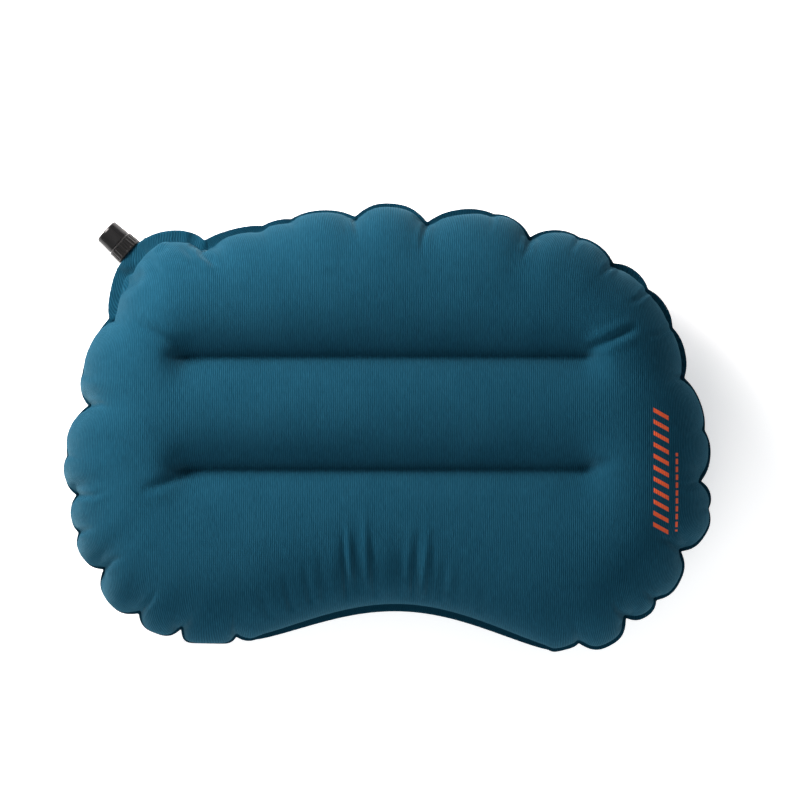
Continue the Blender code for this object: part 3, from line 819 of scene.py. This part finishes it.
def moulded(name, base, rough=0.34, grain=0.25, brushed=None):
    """Moulded black plastic: faint grain, uneven gloss, painted highlight streaks along the valve, painted highlights
    on convex edges from pointiness.
    """
    k = Nodes(name)
    obj = k.new("TexCoord").outputs["Object"]
    fine = k.noise(obj, 2600.0, 2.0)
    # streaks run along the valve: squeeze the noise along its axis; it varies the gloss and paints highlight streaks
    # into the colour
    parts = []
    for axis, stretch in ((AX, 0.03), (SIDE, 1.0)):
        dot = k.new("VectorMath", operation="DOT_PRODUCT")
        k.link(obj, dot.inputs[0])
        dot.inputs[1].default_value = (float(axis[0]) * stretch, float(axis[1]) * stretch, 0.0)
        parts.append(dot.outputs["Value"])
    height = k.new("SeparateXYZ")
    k.link(obj, height.inputs[0])
    along = k.new("CombineXYZ")
    k.link(parts[0], along.inputs[0])
    k.link(parts[1], along.inputs[1])
    k.link(height.outputs[2], along.inputs[2])
    big = k.noise(along.outputs[0], 420.0, 3.0, 0.6)
    geo = k.new("NewGeometry")
    edge = k.ramp(geo.outputs["Pointiness"], [(0.50, (0, 0, 0, 1)), (0.58, (1, 1, 1, 1))])
    # painted highlight streaks: the colour lightens in bands along the valve
    c = k.mix(k.math("MULTIPLY", big, 0.5), base, tuple(min(1, v * 1.9) for v in base[:3]) + (1,))
    # painted highlight: convex edges lighter, by the pointiness mask
    c = k.mix(k.math("MULTIPLY", edge, 0.25), c, tuple(min(1, v * 4 + 0.01) for v in base[:3]) + (1,))
    k.link(c, k.bsdf.inputs["Base Color"])
    k.link(k.math("ADD", rough - 0.19, k.math("MULTIPLY", big, 0.34)), k.bsdf.inputs["Roughness"])
    k.bsdf.inputs["Specular IOR Level"].default_value = 0.26
    b = k.new("Bump")
    b.inputs["Strength"].default_value = grain
    b.inputs["Distance"].default_value = 0.00003
    k.link(fine, b.inputs["Height"])
    k.link(b.outputs[0], k.bsdf.inputs["Normal"])
    return k.m


def film(name, base):
    k = Nodes(name)
    obj = k.new("TexCoord").outputs["Object"]
    n = k.noise(obj, 90.0, 3.0)
    k.link(k.mix(n, base, tuple(v * 0.8 for v in base[:3]) + (1,)), k.bsdf.inputs["Base Color"])
    k.link(k.math("ADD", 0.25, k.math("MULTIPLY", n, 0.2)), k.bsdf.inputs["Roughness"])
    k.bsdf.inputs["Subsurface Weight"].default_value = 0.1
    b = k.new("Bump")
    b.inputs["Strength"].default_value = 0.2
    b.inputs["Distance"].default_value = 0.0002
    k.link(k.noise(obj, 400.0, 2.0), b.inputs["Height"])
    k.link(b.outputs[0], k.bsdf.inputs["Normal"])
    return k.m


FACE = knit("face_knit", (0.0060, 0.0440, 0.0745, 1), (0.0125, 0.069, 0.110, 1), (0.0028, 0.0255, 0.0445, 1), marks=True)
BACK = knit("back_knit", (0.0044, 0.038, 0.065, 1), (0.008, 0.056, 0.092, 1), (0.0024, 0.024, 0.042, 1))
CAP_BLACK = moulded("cap_plastic", (0.0032, 0.0031, 0.0032, 1), 0.27)
BODY_BLACK = moulded("barrel_plastic", (0.0036, 0.0034, 0.0034, 1), 0.28)
BASE_BLACK = moulded("base_tpu", (0.012, 0.012, 0.013, 1), 0.5, 0.4)
RING_RUBBER = moulded("ring_rubber", (0.010, 0.010, 0.010, 1), 0.6, 0.5)
WEB_FILM = film("baffle_film", (0.30, 0.38, 0.40, 1))


def dress(o, material):
    o.data.materials.clear()
    o.data.materials.append(material)


STEPS = 700
top = sheet_object("face_sheet", 1, STEPS)
bottom = sheet_object("back_sheet", -1, STEPS)
dress(top, FACE)
dress(bottom, BACK)
for piece, node, slot in ((top, "top_panel", "face_fabric"), (bottom, "bottom_panel", "back_fabric")):
    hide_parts(node)
    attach(piece, "pillow")
for node, material in (
    ("upper_baffle", WEB_FILM), ("lower_baffle", WEB_FILM), ("valve_base", BASE_BLACK), ("valve_body", BODY_BLACK),
    ("valve_cap", CAP_BLACK), ("cap_o_ring", RING_RUBBER), ("plug_o_ring", RING_RUBBER),
):
    dress(frame["nodes"][node], material)

# ---------------------------------------------------------------- studio
def stage_mesh(name, points, faces, material):
    mesh = bpy.data.meshes.new(name)
    mesh.from_pydata(points, [], faces)
    o = bpy.data.objects.new(name, mesh)
    bpy.context.scene.collection.objects.link(o)
    o.data.materials.append(material)
    return o


k = Nodes("studio_floor")
k.bsdf.inputs["Base Color"].default_value = (0.95, 0.95, 0.95, 1)
k.bsdf.inputs["Roughness"].default_value = 0.9
k.bsdf.inputs["Specular IOR Level"].default_value = 0.1
k.bsdf.inputs["Emission Color"].default_value = (1, 1, 1, 1)
# a light table under the pillow, glowing more where the lamps no longer reach
far = k.new("VectorMath", operation="LENGTH")
k.link(k.new("TexCoord").outputs["Object"], far.inputs[0])
glow = k.new("MapRange", interpolation_type="SMOOTHSTEP")
k.link(far.outputs["Value"], glow.inputs[0])
for i, v in enumerate((0.7, 3.0, 0.46, 0.80)):
    glow.inputs[i + 1].default_value = v
k.link(glow.outputs[0], k.bsdf.inputs["Emission Strength"])
floor = stage_mesh("floor", [(-9, -9, 0), (9, -9, 0), (9, 9, 0), (-9, 9, 0)], [(0, 1, 2, 3)], k.m)
k = Nodes("studio_wall")
k.bsdf.inputs["Base Color"].default_value = (0.9, 0.9, 0.9, 1)
k.bsdf.inputs["Roughness"].default_value = 0.9
k.bsdf.inputs["Emission Color"].default_value = (0.97, 0.98, 1.0, 1)
k.bsdf.inputs["Emission Strength"].default_value = 0.80
ring = [(8.5 * cos(2 * pi * i / 48), 8.5 * sin(2 * pi * i / 48)) for i in range(48)]
wall = stage_mesh("wall", [(x, y, 0.0) for x, y in ring] + [(x, y, 5.0) for x, y in ring], [(i, (i + 1) % 48, (i + 1) % 48 + 48, i + 48) for i in range(48)], k.m)
wall.visible_diffuse = wall.visible_glossy = wall.visible_shadow = False


def light(name, place, target, size, power, colour=(1, 1, 1)):
    d = bpy.data.lights.new(name, "AREA")
    d.shape, d.size, d.size_y = "RECTANGLE", size[0], size[1]
    d.energy, d.color = power, colour
    o = bpy.data.objects.new(name, d)
    bpy.context.scene.collection.objects.link(o)
    o.location = place
    o.rotation_euler = (Vector(target) - Vector(place)).to_track_quat("-Z", "Y").to_euler()
    return o


light("key", (-0.78, 0.80, 0.56), (0, 0, 0.05), (0.7, 0.5), 13.5, (1.0, 0.95, 0.93))
light("near", (-0.40, 0.42, 0.40), (-0.10, 0.08, 0.06), (0.30, 0.20), 6.6, (1.0, 0.93, 0.91))
light("fill", (-0.30, -0.98, 0.74), (0, 0, 0.05), (1.0, 0.8), 8.5)
light("top", (-0.2, 0.3, 2.4), (0, 0, 0.0), (2.4, 2.4), 4)
world = bpy.context.scene.world or bpy.data.worlds.new("world")
bpy.context.scene.world = world
world.use_nodes = True
bg = world.node_tree.nodes.get("Background") or world.node_tree.nodes.new("ShaderNodeBackground")
bg.inputs[0].default_value = (0.95, 0.97, 1.0, 1)
bg.inputs[1].default_value = 0.36

camera = bpy.data.cameras.new("camera")
camera.lens, camera.sensor_width = 200.0, 36.0
view = bpy.data.objects.new("camera", camera)
bpy.context.scene.collection.objects.link(view)
SPAN = 0.50536                                       # metres across the picture at the seam's height
distance = SPAN / 36.0 * 200.0
view.location = (0.0076 + 0.00018, 0.0164 + 0.00047, ZS * MM + distance)
view.rotation_euler = (0, 0, 0)
bpy.context.scene.camera = view
bpy.context.scene.view_settings.view_transform = "Standard"
bpy.context.scene.view_settings.look = "None"
